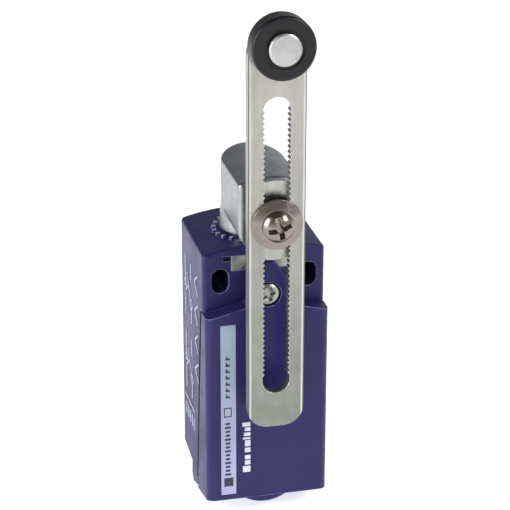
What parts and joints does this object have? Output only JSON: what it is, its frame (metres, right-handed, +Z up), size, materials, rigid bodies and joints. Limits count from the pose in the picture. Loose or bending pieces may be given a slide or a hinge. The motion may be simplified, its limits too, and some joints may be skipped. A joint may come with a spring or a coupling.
{
  "type": "limit switch",
  "caption": "compact plastic limit switch with a turnable metal head and an adjustable slotted lever that carries a small roller",
  "frame": {"origin": "midway between the two fixing holes, on the rear mounting face", "axes": "+Z up the switch towards the roller, +Y out of the rear mounting face, the cover and lever face -Y, +X to the right seen from the front"},
  "size_m": [0.031, 0.0476, 0.1329],
  "materials": {
    "housing_plastic": "fine-grained dark blue-violet moulded plastic",
    "seal_rubber": "black sealing rubber",
    "nickel": "bright nickel plate, slightly warm",
    "zinc_plate": "zinc-plated steel",
    "label_film": "pale silver-lavender printed film",
    "block_plastic": "off-white moulded plastic",
    "contact_brass": "plain brass",
    "carrier_plastic": "dark red moulded plastic",
    "spring_steel": "bright spring steel",
    "head_zinc": "satin die-cast zinc",
    "shaft_steel": "turned steel",
    "lever_steel": "stamped steel, zinc-nickel plated, matt front with bright edges",
    "pin_steel": "flat bright rivet head",
    "roller_plastic": "black thermoplastic"
  },
  "bodies": {
    "housing": {"rear_body": "housing_plastic", "front_cover": "housing_plastic", "cover_gasket": "seal_rubber", "cover_screw": "zinc_plate", "head_lock_clip": "zinc_plate", "name_label": "label_film", "contact_block_base": "block_plastic", "contact_block_cover": "block_plastic", "fixed_contacts": "contact_brass", "terminal_clamps": "zinc_plate", "terminal_screws": "zinc_plate"},
    "contacts": {"contact_carrier": "carrier_plastic", "bridge_contacts": "contact_brass", "carrier_spring": "spring_steel"},
    "head": {"head_casing": "head_zinc", "head_base": "head_zinc", "neck_seal_ring": "seal_rubber", "shaft_seal": "seal_rubber", "front_bush": "contact_brass", "rear_bush": "contact_brass"},
    "plunger": {"head_plunger": "carrier_plastic", "plunger_spring": "spring_steel"},
    "shaft": {"lever_shaft": "shaft_steel", "cam": "shaft_steel", "cam_pin": "shaft_steel", "shaft_circlip": "spring_steel", "return_spring": "spring_steel", "lever_hub": "zinc_plate"},
    "clamp": {"slot_key_plate": "zinc_plate", "lever_screw_washer": "nickel", "lever_screw": "nickel"},
    "lever": {"lever_plate": "lever_steel", "roller_pin": "pin_steel", "roller_washer": "zinc_plate"},
    "roller_wheel": {"roller": "roller_plastic"}
  },
  "joints": [
    {"name": "head_turn", "type": "hinge", "parent": "housing", "child": "head", "pos_m": [0, -0.015, 0.005], "axis": [0, 0, 1], "range_deg": [-180, 180]},
    {"name": "lever_swing", "type": "hinge", "parent": "head", "child": "shaft", "pos_m": [0, -0.03, 0.0188], "axis": [0, 1, 0], "range_deg": [-70, 70], "stiffness_Nm_per_rad": 0.15},
    {"name": "lever_angle_set", "type": "hinge", "parent": "shaft", "child": "clamp", "pos_m": [0, -0.036, 0.0188], "axis": [0, 1, 0], "range_deg": [-180, 180]},
    {"name": "lever_length_set", "type": "slide", "parent": "clamp", "child": "lever", "axis": [0, 0, 1], "range_m": [-0.0245, 0.0375]},
    {"name": "roller_spin", "type": "hinge", "parent": "lever", "child": "roller_wheel", "pos_m": [0, -0.044, 0.0628], "axis": [0, 1, 0], "continuous": true},
    {"name": "plunger_slide", "type": "slide", "parent": "head", "child": "plunger", "axis": [0, 0, 1], "range_m": [-0.002, 0], "stiffness_N_per_m": 300, "deforming": ["plunger_spring"]},
    {"name": "contact_slide", "type": "slide", "parent": "housing", "child": "contacts", "axis": [0, 0, 1], "range_m": [-0.002, 0], "stiffness_N_per_m": 200, "deforming": ["carrier_spring"]}
  ],
  "couplings": [
    {"joint": "contact_slide", "follows": "plunger_slide", "ratio": 1}
  ]
}
